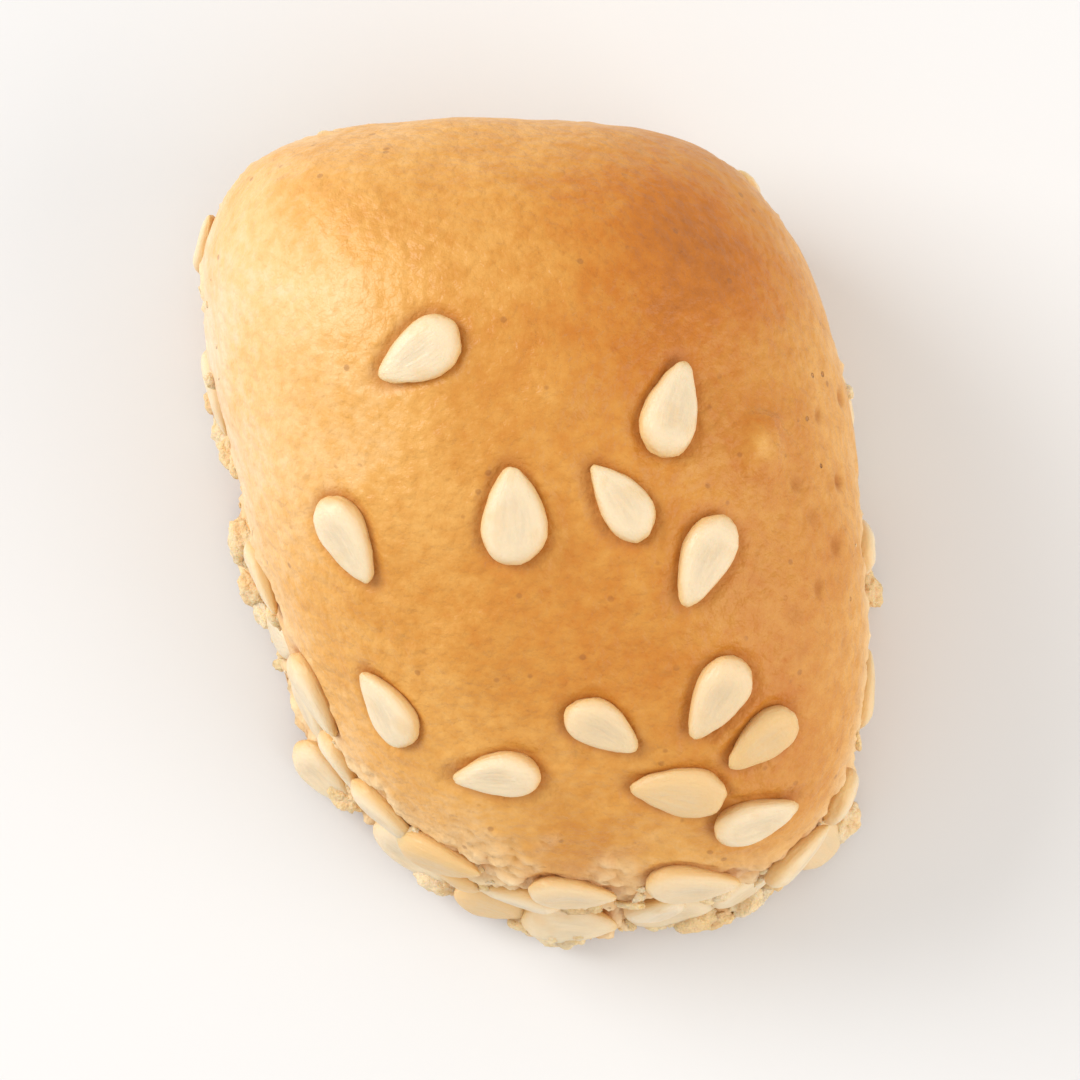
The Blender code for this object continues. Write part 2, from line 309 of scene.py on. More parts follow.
def edge_seed(rng, size, places):
    """Draws one scattered seed, and returns its matrix, or None where it may not lie."""
    around = rng.uniform(-math.pi, math.pi)
    latitude = BASE_LATITUDE + (EDGE_TOP - BASE_LATITUDE) * rng.random() ** 1.5
    heading = rng.uniform(0, 2 * math.pi)
    wanted = rng.random() < edge_density(around, latitude)
    place, east, north, out = seat(around, latitude)
    matrix = laid(place, east * math.cos(heading) + north * math.sin(heading), out, SEED_RISE)
    near = min((matrix.translation - other.translation).length for other, _ in places)
    clear = lowest(matrix, size * SEED_LENGTH / 2) > BASE_CLEARANCE
    return matrix if wanted and clear and near > EDGE_GAP else None


def all_seed_places():
    rng = random.Random(RANDOM_SEED)
    places = placed_seeds(rng)
    sizes = sorted((1 + SEED_SPREAD * rng.uniform(-1.5, 1) for _ in range(EDGE_SEEDS)), reverse=True)
    for size in sizes:
        matrix = None
        while matrix is None:
            matrix = edge_seed(rng, size, places)
        places.append((matrix, size))
    return places


seed_places = all_seed_places()
print(f"{len(seed_places)} seeds with the scattered ones")

# %% [markdown]
# ## A fine skin
# The solid is drawn coarsely, to keep it light. Its rule can be sampled as finely as needed, so the skin
# starts from a cube, which bmesh cuts into a grid, and each grid point is sent to its place on the crust.
# A cube has no poles, so the faces stay even all over, and there is no pinched spot on top as on a UV
# sphere.

# %% The skin's grid
SKIN_CUTS = 126
GRID_CROWDING = 1.25  # the grid's rows crowd together towards the foot
CROWN_EDGE = math.radians(42)  # latitude where the grid's sides meet its top


def grid_point(corner):
    """Where a point of the 2 x 2 x 2 cube goes on the biscuit."""
    a, b, c = corner
    ring = max(abs(a), abs(b))
    around = math.atan2(b * HALF_LENGTH, a * HALF_WIDTH)
    if c < -NEARLY_ONE:
        point = crust_point(around, BASE_LATITUDE, inward=ring)
        point.z = 0
        return point
    if c > NEARLY_ONE:
        return crust_point(around, math.pi / 2 + (CROWN_EDGE - math.pi / 2) * ring)
    up = ((c + 1) / 2) ** GRID_CROWDING
    return crust_point(around, BASE_LATITUDE + (CROWN_EDGE - BASE_LATITUDE) * up)


skin = bmesh.new()
bmesh.ops.create_cube(skin, size=2)
bmesh.ops.subdivide_edges(skin, edges=skin.edges, cuts=SKIN_CUTS, use_grid_fill=True)
for vertex in skin.verts:
    vertex.co = grid_point(vertex.co)
bmesh.ops.recalc_face_normals(skin, faces=skin.faces)
print(f"skin: {len(skin.verts)} points, {2 * len(skin.faces)} triangles")

# %% [markdown]
# ## Relief in the skin
# Up close the crust isn't smooth. It ripples, wrinkles and has pits low on its flanks, its widest part is
# rough in patches, and the foot has broken into crumbs. A bump map would fake this, but it vanishes at
# the outline, so here the points themselves move along their normals. What each point went through is
# also stored on it for the material to read: how hollow it lies, where the material paints shade; how
# crumbly and how pitted it is; and how brown it is, with painted shade and painted highlight added.

# %% Storage on the skin's points
hollow_shade_layer = skin.verts.layers.float.new("hollow")
crumbly_layer = skin.verts.layers.float.new("crumbly")
pitted_layer = skin.verts.layers.float.new("pitted")
browning_and_light_layer = skin.verts.layers.float.new("browning_and_light")
print("stored on each point:", ", ".join(skin.verts.layers.float.keys()))

# %% Ripples, wrinkles and pits
RIPPLES = ((2.1 * MM, 0.055 * MM), (0.9 * MM, 0.030 * MM), (0.45 * MM, 0.012 * MM))  # size and height
WRINKLE_SIZE = Vector((2.6, 2.6, 0.9)) * MM  # long around the flank, short up it
WRINKLE_DEPTH = 0.07 * MM
PIT_SPACING = 1.05 * MM
PIT_RADIUS = 0.30  # of their spacing
PIT_DEPTH = 0.13 * MM
FLANK_HEIGHT = 7.0 * MM  # wrinkles and pits lie below this height
PITTED_STRIP = (9.3, 1.5, 1.2, 4.6)  # but this strip is pitted too: middle and half size in mm


def ripple(place):
    return sum(height * noise.noise(place / size) for size, height in RIPPLES)


def wrinkle(place):
    """A narrow crease wherever the noise passes through zero."""
    scaled = Vector((place.x / WRINKLE_SIZE.x, place.y / WRINKLE_SIZE.y, place.z / WRINKLE_SIZE.z))
    here = noise.noise(scaled + Vector((9, 4, 2))) + 0.3 * noise.noise(scaled * 3)
    return -WRINKLE_DEPTH * math.exp(-((here / 0.09) ** 2))


def pit(place, share):
    """A round hollow at some of the cells of a Voronoi pattern."""
    distances, middles = noise.voronoi(place / PIT_SPACING)
    grown = smooth_step(3.2 * abs(noise.noise(middles[0] * 3.7)) - 0.3)
    patches = smooth_step(2.5 * noise.noise(place / (4 * PIT_SPACING) + Vector((3, 8, 1))) + 0.3)
    bowl = smooth_step(1.5 - distances[0] / (PIT_RADIUS * (0.6 + 0.5 * grown)))
    return -PIT_DEPTH * max(patches * share, strip_share(place)) * grown * bowl


def strip_share(place):
    x, y, half_width, half_length = PITTED_STRIP
    away = math.hypot((place.x / MM - x) / half_width, (place.y / MM - y) / half_length)
    return smooth_step(1.6 - away)


print(f"wrinkles are {WRINKLE_DEPTH / MM:.2f} mm deep, pits up to {PIT_DEPTH / MM:.2f} mm")

# %% The frayed foot
FRAY_TOP = 2.4 * MM
SEEDED_FRAY_TOP = 10.0 * MM  # it reaches this high at the seeded end, in patches
FRAY_SIZE = 0.75 * MM
FRAY_HEIGHT = 0.36 * MM
CELL_SIZE = 1.1 * MM
CELL_HEIGHT = 0.26 * MM
ROUGH_SHARE = 0.8  # how much of the fray the widest part gets, in patches
ROUGH_LEVEL = 5.2 * MM
ROUGH_BAND = 2.6 * MM
ROUGH_PATCH = 3.1 * MM


def fray(place):
    """Crumbs and breaks along the foot: rounded cells, roughened by turbulence."""
    cells = 0.45 - noise.voronoi(place / CELL_SIZE)[0][0]
    rough = noise.turbulence(place / FRAY_SIZE, 3, True) - CRAG_MEAN
    return CELL_HEIGHT * cells + FRAY_HEIGHT * rough


def at_seeded_end(around):
    """1 over the seeded end, 0 over the rest, with a soft border."""
    return smooth_step(2 * math.cos(around - SEEDED_SIDE) - 0.9)


def foot_fray(place):
    seeded = at_seeded_end(math.atan2(place.y, place.x))
    ragged = 1 + 0.7 * noise.noise(place / (2.4 * MM)) + 0.3 * noise.noise(place / (0.8 * MM))
    top = (FRAY_TOP + (SEEDED_FRAY_TOP - FRAY_TOP) * seeded) * ragged
    return smooth_step(2.5 * (1 - place.z / top))


def edge_fray(place):
    """Patches round the widest part, fewer towards the bare end."""
    here = 2.2 * noise.noise(place / ROUGH_PATCH + Vector((6, 2, 5)))
    band = math.exp(-(((place.z - ROUGH_LEVEL) / ROUGH_BAND) ** 2))
    return ROUGH_SHARE * smooth_step(here + 0.8 - 0.03 * place.y / MM) * band


print(f"frayed up to {FRAY_TOP / MM:.1f} mm, and up to {SEEDED_FRAY_TOP / MM:.0f} mm at the seeded end")

# %% Moving the points
def facing_down(up):
    """1 where the skin faces the tray, 0 on the flanks and the crown."""
    return smooth_step(-up * 4 - 2.6)


skin.normal_update()
for vertex in skin.verts:
    place = vertex.co.copy()
    out = vertex.normal.copy()
    underneath = facing_down(out.z)
    flank = smooth_step(2 * (1 - place.z / FLANK_HEIGHT)) * (1 - underneath)
    folds, pits = wrinkle(place) * flank, pit(place, flank) * (1 - underneath)
    share = max(foot_fray(place), edge_fray(place)) * (1 - underneath)
    frayed = fray(place) * share
    pores = -0.5 * pit(place * 1.4, 1) * underneath
    move = out * (ripple(place) + folds + pits + frayed)
    if underneath > 0.5:
        move = Vector((0, 0, max(pores + abs(ripple(place)), 0)))
    vertex.co = place + move
    vertex.co.z = max(vertex.co.z, 0)
    # painted shade: the deeper a wrinkle, pit or pore lies, the darker the material paints it
    vertex[hollow_shade_layer] = min(max(-(folds + pits) / PIT_DEPTH, pores / PIT_DEPTH, 0), 1)
    broken = smooth_step(1.3 * share - 0.15) * smooth_step(2.4 * (1 - place.z / SEEDED_FRAY_TOP))
    vertex[crumbly_layer] = min(max(broken * (0.55 + frayed / FRAY_HEIGHT), 0), 1)
    vertex[pitted_layer] = max(strip_share(place), 0.5 * flank)

print(f"{len(skin.verts)} points moved along their normals")

# %% [markdown]
# ## Hollows round the seeds
# A seed is pressed into soft dough, which then bakes round it. The skin sinks next to the seed and stands
# up a little further out. The distance to the seed's outline drives both, so one function serves the
# seeds that are there, those that fell out and left only the hollow, and those that the dough closed
# over. A KD tree finds the points near a seed quickly.

# %% Pressing the seeds in
PRESS_DEPTH = 0.10 * MM
PRESS_REACH = 0.16 * MM
LIP_HEIGHT = 0.035 * MM
LIP_DISTANCE = 0.40 * MM
PRESS_LEVEL = 0.8 * MM  # skin much further than this from the seed's middle plane stays where it is
# painted shade round each seed, in the hollow where it sits
PRESS_SHADE = 0.6  # how much redder the hollow is than the skin round it

skin.verts.ensure_lookup_table()
near_points = KDTree(len(skin.verts))
for index, vertex in enumerate(skin.verts):
    near_points.insert(vertex.co, index)
near_points.balance()


def past_outline(local, size):
    """How far a point of the seed's plane lies outside the seed's outline. Inside it is negative."""
    half_length, half_width = SEED_LENGTH * size / 2, SEED_WIDTH * size / 2
    half_width *= 1 - SEED_NARROWING * smooth_step(local.x / (2 * half_length) + 0.5)
    share = math.hypot(local.x / half_length, local.y / half_width)
    return (share - 1) * half_width


def press(matrix, size, depth, lip, painted_shade, reach=PRESS_REACH):
    """Sinks the skin under and next to a seed, paints shade into that hollow, darker and redder, and raises a
    lip round it.
    """
    inverse = matrix.inverted()
    out = matrix.col[2].xyz
    for _, index, _ in near_points.find_range(matrix.translation, SEED_LENGTH * size):
        vertex = skin.verts[index]
        local = inverse @ vertex.co
        gap = past_outline(local, size)
        sink = math.exp(-((max(gap, 0) / reach) ** 2))
        rise = math.exp(-(((gap - LIP_DISTANCE) / PRESS_REACH) ** 2))
        level = math.exp(-((local.z / PRESS_LEVEL) ** 2))
        vertex.co += out * (lip * rise - depth * sink) * level
        # painted shade in the hollow next to the seed
        vertex[hollow_shade_layer] = max(vertex[hollow_shade_layer], painted_shade * sink * level)


for matrix, size in seed_places:
    press(matrix, size, PRESS_DEPTH, LIP_HEIGHT, PRESS_SHADE)
print(f"{len(seed_places)} seeds pressed in")

# %% Hollows that lost their seed, and seeds that the dough closed over
LOST_TRIES = 60
LOST_GAP = 2.3 * MM  # least distance from a seed
LOST_SPACING = 7.0 * MM  # least distance between two lost ones
LOST_SIZE = 0.62
LOST_DEPTH = 0.24 * MM
LOST_LIP = 0.08 * MM
# painted shade on the floor of each empty hollow
LOST_SHADE = 0.55
BURIED_REACH = 0.45 * MM
BURIED_SEEDS = (  # across and along in mm, heading in degrees, size, and height in mm
    (7.2, 3.0, 70, 0.40, 0.34),
    (0.5, 5.2, 100, 0.45, 0.12),
    (-2.2, -3.6, 60, 0.80, 0.07),
    (2.8, -9.3, 60, 0.70, 0.14),
)


def lost_seed_places():
    rng = random.Random(RANDOM_SEED + 2)
    places = []
    for _ in range(LOST_TRIES):
        around = rng.uniform(-math.pi, math.pi)
        latitude = rng.uniform(0.45 * BASE_LATITUDE, 0.2 * BASE_LATITUDE)
        heading = rng.uniform(0, 2 * math.pi)
        place, east, north, out = seat(around, latitude)
        matrix = laid(place, east * math.cos(heading) + north * math.sin(heading), out, 0)
        clear = all((place - other.translation).length > LOST_GAP for other, _ in seed_places)
        apart = all((place - other.translation).length > LOST_SPACING for other in places)
        if clear and apart:
            places.append(matrix)
    return places


lost_places = lost_seed_places()
for matrix in lost_places:
    press(matrix, LOST_SIZE, LOST_DEPTH, LOST_LIP, LOST_SHADE)
for x, y, heading, size, height in BURIED_SEEDS:
    place, _, _, out = seat(*crown_seat(x * MM, y * MM))
    matrix = laid(place, heading_vector(heading), out, 0)
    press(matrix, size, depth=-height * MM, lip=0, painted_shade=0, reach=BURIED_REACH)
for vertex in skin.verts:
    vertex.co.z = max(vertex.co.z, 0)  # nothing sinks below the tray
print(f"{len(lost_places)} seeds lost and {len(BURIED_SEEDS)} buried")

# %% [markdown]
# ## Where the oven browned it, with painted light and shade
# The crown faced the oven's heat and the underside the hot tray, so both are browner than the flanks.
# The patches are uneven: this piece is darkest beside the crown, towards one end, partly browning and
# partly painted shade, and the top edge on the right has a patch of painted shade. A pale patch on the
# upper left shoulder is a painted highlight, and the left flank is paler, partly from painted light.
# Painting vertex colours by hand would do, but soft round patches are easier to move about in a table.
# They are stored on the points as one number, from 0, pale, to 1, dark, and the material turns it into
# colour.

# %% Browning, painted shade and painted highlight
CROWN_BROWN = 0.50
FLANK_BROWN = 0.25
UNDERSIDE_BROWN = 0.95
BROWNING_AND_LIGHT_PATCHES = (  # across, along and radius in mm, and strength
    # browning, and painted shade on the flank that faces away from the light
    (5.5, 9.0, 4.5, 0.25),
    # painted shade along the top edge on the right
    (4.0, 12.5, 3.0, 0.10),
    (9.5, -1.0, 4.5, 0.12),
    (8.0, -8.0, 4.0, 0.18),
    (1.0, -10.8, 1.8, 0.20),
    (1.5, -2.5, 5.0, 0.08),
    # paler dough, and partly painted light on the lit left flank
    (-9.0, 4.0, 6.0, -0.10),
    # painted highlight: a pale sheen on the upper left shoulder
    (-8.6, 7.8, 4.0, -0.20),
    (-6.0, 2.0, 4.0, -0.05),
    (7.2, 3.0, 1.1, 0.16),  # a ring round a buried seed
    (7.2, 3.0, 0.65, -0.36),
)


def browning_and_painted_light(place, up):
    """Browning at a place given in mm, where the skin faces up this much, with the patches' painted light and
    shade.
    """
    crown = smooth_step(1.5 * place.z * MM / cad_high.z - 0.42)
    browning_and_light = FLANK_BROWN + (CROWN_BROWN - FLANK_BROWN) * crown
    for x, y, radius, strength in BROWNING_AND_LIGHT_PATCHES:
        browning_and_light += strength * math.exp(-((place.xy - Vector((x, y))).length / radius) ** 2)
    underneath = smooth_step(-up * 3 - 1.2) * smooth_step(1.5 - place.z / 0.8)
    return browning_and_light + (UNDERSIDE_BROWN - browning_and_light) * underneath


skin.normal_update()
for vertex in skin.verts:
    vertex[browning_and_light_layer] = browning_and_painted_light(vertex.co / MM, vertex.normal.z)

brownest = max(vertex[browning_and_light_layer] for vertex in skin.verts)
palest = min(vertex[browning_and_light_layer] for vertex in skin.verts)
print(f"browned from {palest:.2f} to {brownest:.2f}")

# %% The crust becomes an object
SHARP_ANGLE = math.radians(70)


def add_piece(name, bm):
    """Turns a bmesh into an object at the origin, shaded smooth."""
    mesh = bpy.data.meshes.new(name)
    bm.to_mesh(mesh)
    bm.free()
    mesh.shade_smooth()
    piece = bpy.data.objects.new(name, mesh)
    bpy.context.scene.collection.objects.link(piece)
    size = piece.dimensions / MM
    triangles = sum(len(face.vertices) - 2 for face in mesh.polygons)
    print(f"{name}: {triangles} triangles, {size.x:.1f} x {size.y:.1f} x {size.z:.1f} mm")
    return piece


surface = BVHTree.FromBMesh(skin)  # for the flakes, which cling to it
crust = add_piece("crust", skin)
crust.data.set_sharp_from_angle(angle=SHARP_ANGLE)

# %% [markdown]
# ## The sesame seeds
# A hulled sesame seed is a flat teardrop, 3 mm long, with a plump rim round a slightly sunken face. Each
# starts as a sphere with its poles turned to the ends, where the narrow faces do no harm. It is narrowed
# to the tip, its faces are flattened and dished, and each one is bent and dented its own way, because no
# two are alike. All are one mesh.

# %% Seeds
SEED_SIDES = 36
SEED_RINGS = 22
SEED_FLATNESS = 3.0  # exponent of the cross-section: 2 is a plain ellipse
SEED_DISH = 0.30  # how far its face sinks
SEED_POINT = 0.09  # how much more its very tip narrows
SEED_BEND = 0.06
SEED_DENT = 0.045
TOASTED_TINT = 0.55  # seeds with a higher tint are toasted
CROWN_TINTS = (0.1, 0.4, 0.3, 0.4, 0.4, 0.1, 0.7, 0.97, 0.7, 0.2, 0.87, 0.2)

seeds = bmesh.new()
tint_layer = seeds.verts.layers.float.new("tint")
within_layer = seeds.verts.layers.float_vector.new("within")
rng = random.Random(RANDOM_SEED + 3)


def add_seed(matrix, size, tint):
    sphere = bmesh.ops.create_uvsphere(seeds, u_segments=SEED_SIDES, v_segments=SEED_RINGS, radius=0.5)
    made = sphere["verts"]
    bmesh.ops.rotate(seeds, verts=made, matrix=Matrix.Rotation(math.pi / 2, 3, "Y"))
    bend = SEED_BEND * rng.uniform(-1, 1)
    point = SEED_POINT * rng.uniform(0.2, 1.6)
    width, thick = rng.uniform(0.88, 1.03), rng.uniform(0.9, 1.08)
    dish = SEED_DISH * rng.uniform(0.2, 1.2)
    own = Vector((rng.uniform(0, 99), rng.uniform(0, 99), rng.uniform(0, 99)))
    for vertex in made:
        x, y, z = vertex.co
        vertex[tint_layer] = tint
        vertex[within_layer] = (x, y, z)
        narrow = 1 - SEED_NARROWING * smooth_step(x + 0.5) - point * smooth_step(2.5 * x - 0.3)
        out = min(2 * math.hypot(x, y), 1)
        flat = math.copysign(0.5 * (1 - out**SEED_FLATNESS) ** 0.5, z)
        hollow = 1 - dish * (1 - smooth_step(1.35 * out))
        dents = noise.noise(vertex.co * 4 + own) + 0.6 * noise.noise(vertex.co * 9 + own)
        dent = 1 + SEED_DENT * dents
        vertex.co = (
            x * dent,
            (y * narrow * width + bend * (1 - 4 * x * x)) * dent,
            flat * narrow * thick * hollow * dent,
        )
    bmesh.ops.scale(seeds, verts=made, vec=(SEED_LENGTH * size, SEED_WIDTH * size, SEED_THICKNESS * size))
    bmesh.ops.transform(seeds, verts=made, matrix=matrix)


for index, (matrix, size) in enumerate(seed_places):
    tint = CROWN_TINTS[index] if index < len(CROWN_TINTS) else rng.random()
    add_seed(matrix, size, tint)
bmesh.ops.recalc_face_normals(seeds, faces=seeds.faces)
sesame_seeds = add_piece("sesame_seeds", seeds)

# %% [markdown]
# ## Crumbs
# Along the foot the dough broke into crumbs that baked where they stuck, and finer flakes cling to the
# crust. The crumbs are drawn again from the solid's rule, and the flakes are new. Each is an icosphere,
# because its even triangles take noise well from all sides.

# %% Crumbs
CRUMBS = 26
CRUMB_SIZE = 1.0 * MM
CRUMB_SHAPE = Vector((1.2, 0.9, 0.8))
CRUMB_LOWEST = 0.02 * MM  # a crumb that hangs lower than this over the tray is cut flat
CRUMB_SUBDIVISIONS = 4
CRUMB_ROUGHNESS = ((1.9, 0.42), (4.6, 0.26), (9.5, 0.10))  # how many lumps, and how high

crumbs = bmesh.new()
crumb_tint_layer = crumbs.verts.layers.float.new("tint")


def all_crumb_places():
    rng = random.Random(RANDOM_SEED + 1)
    places = []
    while len(places) < CRUMBS:
        around = SEEDED_SIDE + rng.triangular(-math.pi, math.pi, 0)
        latitude = BASE_LATITUDE * (1 - rng.uniform(0.08, 0.35))
        size = CRUMB_SIZE * rng.uniform(0.7, 1.3)
        place, east, _, out = seat(around, latitude)
        matrix = laid(place, east + out * rng.uniform(-0.5, 0.5), out, 0)
        if place.z - size / 2 > BASE_CLEARANCE:
            places.append((matrix, size))
    return places


def add_crumb(matrix, size, subdivisions, shape=CRUMB_SHAPE):
    made = bmesh.ops.create_icosphere(crumbs, subdivisions=subdivisions, radius=0.5)["verts"]
    offset = Vector((rng.uniform(0, 99), rng.uniform(0, 99), rng.uniform(0, 99)))
    tint = rng.random()
    for vertex in made:
        lumps = (height * noise.noise(vertex.co * count + offset) for count, height in CRUMB_ROUGHNESS)
        vertex.co *= 1 + sum(lumps)
        vertex[crumb_tint_layer] = tint
    bmesh.ops.scale(crumbs, verts=made, vec=shape * size)
    bmesh.ops.transform(crumbs, verts=made, matrix=matrix)
    for vertex in made:
        vertex.co.z = max(vertex.co.z, CRUMB_LOWEST)


for matrix, size in all_crumb_places():
    add_crumb(matrix, size, CRUMB_SUBDIVISIONS)
print(f"{CRUMBS} crumbs, {len(crumbs.faces)} triangles")

# %% Flakes
FLAKES = 380
FLAKE_SIZE = 0.55 * MM
LARGE_FLAKE = 0.35 * MM  # the smaller ones are many, so they have only 20 faces each
LOW_FLAKES = 0.985  # share of them that lie round the foot, the others round the widest part
FLAKES_TOP = math.radians(20)


def add_flake():
    """One flake, low on the crust, and higher up at the seeded end."""
    size = FLAKE_SIZE * (0.3 + 1.3 * rng.random() ** 3)
    if rng.random() < LOW_FLAKES:
        around = SEEDED_SIDE + rng.triangular(-math.pi, math.pi, 0)
        latitude = BASE_LATITUDE * rng.uniform(0.1 - 0.5 * at_seeded_end(around), 1)
    else:
        around, latitude = rng.uniform(-math.pi, math.pi), rng.uniform(0, FLAKES_TOP)
        size *= 0.7
    place, out, _, _ = surface.find_nearest(crust_point(around, latitude))
    tip = Vector((rng.uniform(-1, 1), rng.uniform(-1, 1), rng.uniform(-1, 1)))
    shape = Vector((rng.uniform(0.9, 1.6), rng.uniform(0.7, 1.0), rng.uniform(0.4, 0.8)))
    subdivisions = 3 if size > LARGE_FLAKE else 1
    if place.z > 1.3 * size:
        add_crumb(laid(place, tip, out, 0.08 * size), size, subdivisions, shape)


for _ in range(FLAKES):
    add_flake()
bmesh.ops.recalc_face_normals(crumbs, faces=crumbs.faces)
crumb_piece = add_piece("crumbs", crumbs)

# %% [markdown]
# ## Materials
# Three finishes: crust, sesame and crumb. All read Object coordinates in millimetres, so a pattern has its
# true size. Two effects serve more than one of them, so they are shader node groups: the colour that dough
# takes in the oven, with painted shade in its hollows, and the fine grain of a baked surface. Nodes can be
# wired by hand in the editor. Here a helper adds a node and wires it at once, so a material reads as a list
# of steps.

# %% [markdown]
# ### Oven colour and painted shade
# Dough browns from cream through gold to dark brown. One number says how far it went, with the crust's
# painted light and shade already in it, mottled by noise of two sizes and by freckles, and a colour ramp
# turns it into colour. Hollows are painted darker and redder, as shade in them, and broken crumb stays pale.

# %% The oven colour group and its sockets
def add_node(tree, kind, inputs=None, **settings):
    """Adds a node, sets its properties, and gives its inputs their value or their link."""
    made = tree.nodes.new(kind)
    for name, value in settings.items():
        setattr(made, name, value)
    for name, value in (inputs or {}).items():
        if isinstance(value, bpy.types.NodeSocket):
            tree.links.new(value, made.inputs[name])
        else:
            made.inputs[name].default_value = value
    return made


def new_group(name, inputs, outputs):
    """A node group with the sockets named, and its input and output nodes."""
    tree = bpy.data.node_groups.new(name, "ShaderNodeTree")
    for socket, kind in inputs:
        tree.interface.new_socket(socket, in_out="INPUT", socket_type=kind)
    for socket, kind in outputs:
        tree.interface.new_socket(socket, in_out="OUTPUT", socket_type=kind)
    print(f"{name} takes {', '.join(socket for socket, _ in inputs)}")
    print(f"and gives {', '.join(socket for socket, _ in outputs)}")
    return tree, tree.nodes.new("NodeGroupInput").outputs, tree.nodes.new("NodeGroupOutput").inputs


oven_colour, given, result = new_group(
    "Oven colour and shade",
    [
        ("Place", "NodeSocketVector"),
        ("Browning and light", "NodeSocketFloat"),
        ("Hollow", "NodeSocketFloat"),
        ("Crumbly", "NodeSocketFloat"),
    ],
    [("Color", "NodeSocketColor")],
)

# %% How far the dough has browned, with the painted light and shade that the crust brings
CLOUDS, MOTTLES, FRECKLES = 0.06, 0.065, 0.09  # how much each adds to the browning


def math_node(tree, operation, first, second):
    return add_node(tree, "ShaderNodeMath", {0: first, 1: second}, operation=operation).outputs[0]


def spread(tree, value, low, high, to_low=0.0, to_high=1.0):
    """Maps a range of a value onto another one, smoothly and clamped."""
    inputs = {"Value": value, "From Min": low, "From Max": high, "To Min": to_low, "To Max": to_high}
    return add_node(tree, "ShaderNodeMapRange", inputs, interpolation_type="SMOOTHSTEP").outputs[0]


def noise_value(tree, place, scale, detail, roughness=0.5):
    inputs = {"Vector": place, "Scale": scale, "Detail": detail, "Roughness": roughness}
    return add_node(tree, "ShaderNodeTexNoise", inputs).outputs[0]


cloud_noise = noise_value(oven_colour, given["Place"], scale=0.28, detail=3)
mottle_noise = noise_value(oven_colour, given["Place"], scale=1.7, detail=4, roughness=0.6)
freckle_noise = noise_value(oven_colour, given["Place"], scale=4.5, detail=3, roughness=0.55)
clouds = spread(oven_colour, cloud_noise, 0.25, 0.75, -CLOUDS, CLOUDS)
mottles = spread(oven_colour, mottle_noise, 0.25, 0.75, -MOTTLES, MOTTLES)
freckles = spread(oven_colour, freckle_noise, 0.56, 0.74, 0, FRECKLES)
freckles = math_node(oven_colour, "MULTIPLY", freckles, given["Browning and light"])
amount = given["Browning and light"]
for change in (clouds, mottles, freckles):
    amount = math_node(oven_colour, "ADD", amount, change)
print(f"browning is mottled by up to {CLOUDS + MOTTLES:.3f} either way, and freckled")

# %% From browning to colour
RAMP = (
    # pale dough, made pinker and whiter, which is also the colour of the painted highlight on the shoulder
    (0.0, (0.93, 0.69, 0.47)),
    (0.22, (0.86, 0.52, 0.21)),
    (0.38, (0.76, 0.38, 0.085)),
    (0.52, (0.65, 0.275, 0.040)),
    (0.70, (0.56, 0.175, 0.010)),
    (0.86, (0.43, 0.128, 0.010)),
    (1.0, (0.13, 0.042, 0.008)),
)
# painted shade in hollows: darker and redder than the dough round them
HOLLOW_SHADE_RED = (0.46, 0.16, 0.025)
CRUMB_PALE = (0.92, 0.71, 0.43)


def mixed(tree, factor, first, second):
    """Mixes two colours. A Mix node has sockets for every data type; 6 and 7 are the colours."""
    inputs = {0: factor, 6: first, 7: second}
    return add_node(tree, "ShaderNodeMix", inputs, data_type="RGBA").outputs[2]


ramp = oven_colour.nodes.new("ShaderNodeValToRGB")
while len(ramp.color_ramp.elements) < len(RAMP):
    ramp.color_ramp.elements.new(0.5)
for element, (position, colour) in zip(ramp.color_ramp.elements, RAMP):
    element.position = position
    element.color = (*colour, 1)
oven_colour.links.new(amount, ramp.inputs[0])
# painted shade: hollows are mixed towards a darker, redder colour
hollow_shaded = mixed(oven_colour, given["Hollow"], ramp.outputs[0], (*HOLLOW_SHADE_RED, 1))
broken = mixed(oven_colour, given["Crumbly"], hollow_shaded, (*CRUMB_PALE, 1))
oven_colour.links.new(broken, result["Color"])
print(f"{oven_colour.name}: {len(oven_colour.nodes)} nodes")

# %% [markdown]
# ### Baked grain
# The crust's finest texture: tiny blisters and specks, too small for the mesh. An image texture would do,
# but noise needs no file and has no seams. The group gives a height for a Bump node, and a mask of specks
# that a material can darken.

# %% The baked grain group
def vector_node(tree, operation, inputs):
    return add_node(tree, "ShaderNodeVectorMath", inputs, operation=operation).outputs["Vector"]


def voronoi_distance(tree, place, scale):
    return add_node(tree, "ShaderNodeTexVoronoi", {"Vector": place, "Scale": scale}).outputs["Distance"]


baked_grain, given, result = new_group(
    "Baked grain",
    [("Place", "NodeSocketVector"), ("Fineness", "NodeSocketFloat")],
    [("Height", "NodeSocketFloat"), ("Specks", "NodeSocketFloat")],
)
scaled = vector_node(baked_grain, "SCALE", {0: given["Place"], "Scale": given["Fineness"]})
soft = noise_value(baked_grain, scaled, scale=2.2, detail=3, roughness=0.6)
blisters = math_node(baked_grain, "MULTIPLY", voronoi_distance(baked_grain, scaled, 2.6), 0.45)
baked_grain.links.new(math_node(baked_grain, "SUBTRACT", soft, blisters), result["Height"])
dots = spread(baked_grain, voronoi_distance(baked_grain, scaled, 1.15), 0.09, 0.16, 1, 0)
thinned = spread(baked_grain, noise_value(baked_grain, scaled, scale=0.7, detail=1), 0.5, 0.6)
baked_grain.links.new(math_node(baked_grain, "MULTIPLY", dots, thinned), result["Specks"])
print(f"{baked_grain.name}: {len(baked_grain.nodes)} nodes")

# %% [markdown]
# ### The crust's finish
# The crust is golden and softly glossy, and matt where it is hollow or crumbly. Specks of the grain darken
# it, and its pits get painted shade, darker and redder. The Principled BSDF stays in the material.
# Subsurface light would suit dough too, but through this dense skin it hardly shows, and it makes the
# render slower, so the crust goes without.

# %% A material, its bump and what it reads
SPECULAR_LEVEL = 0.45


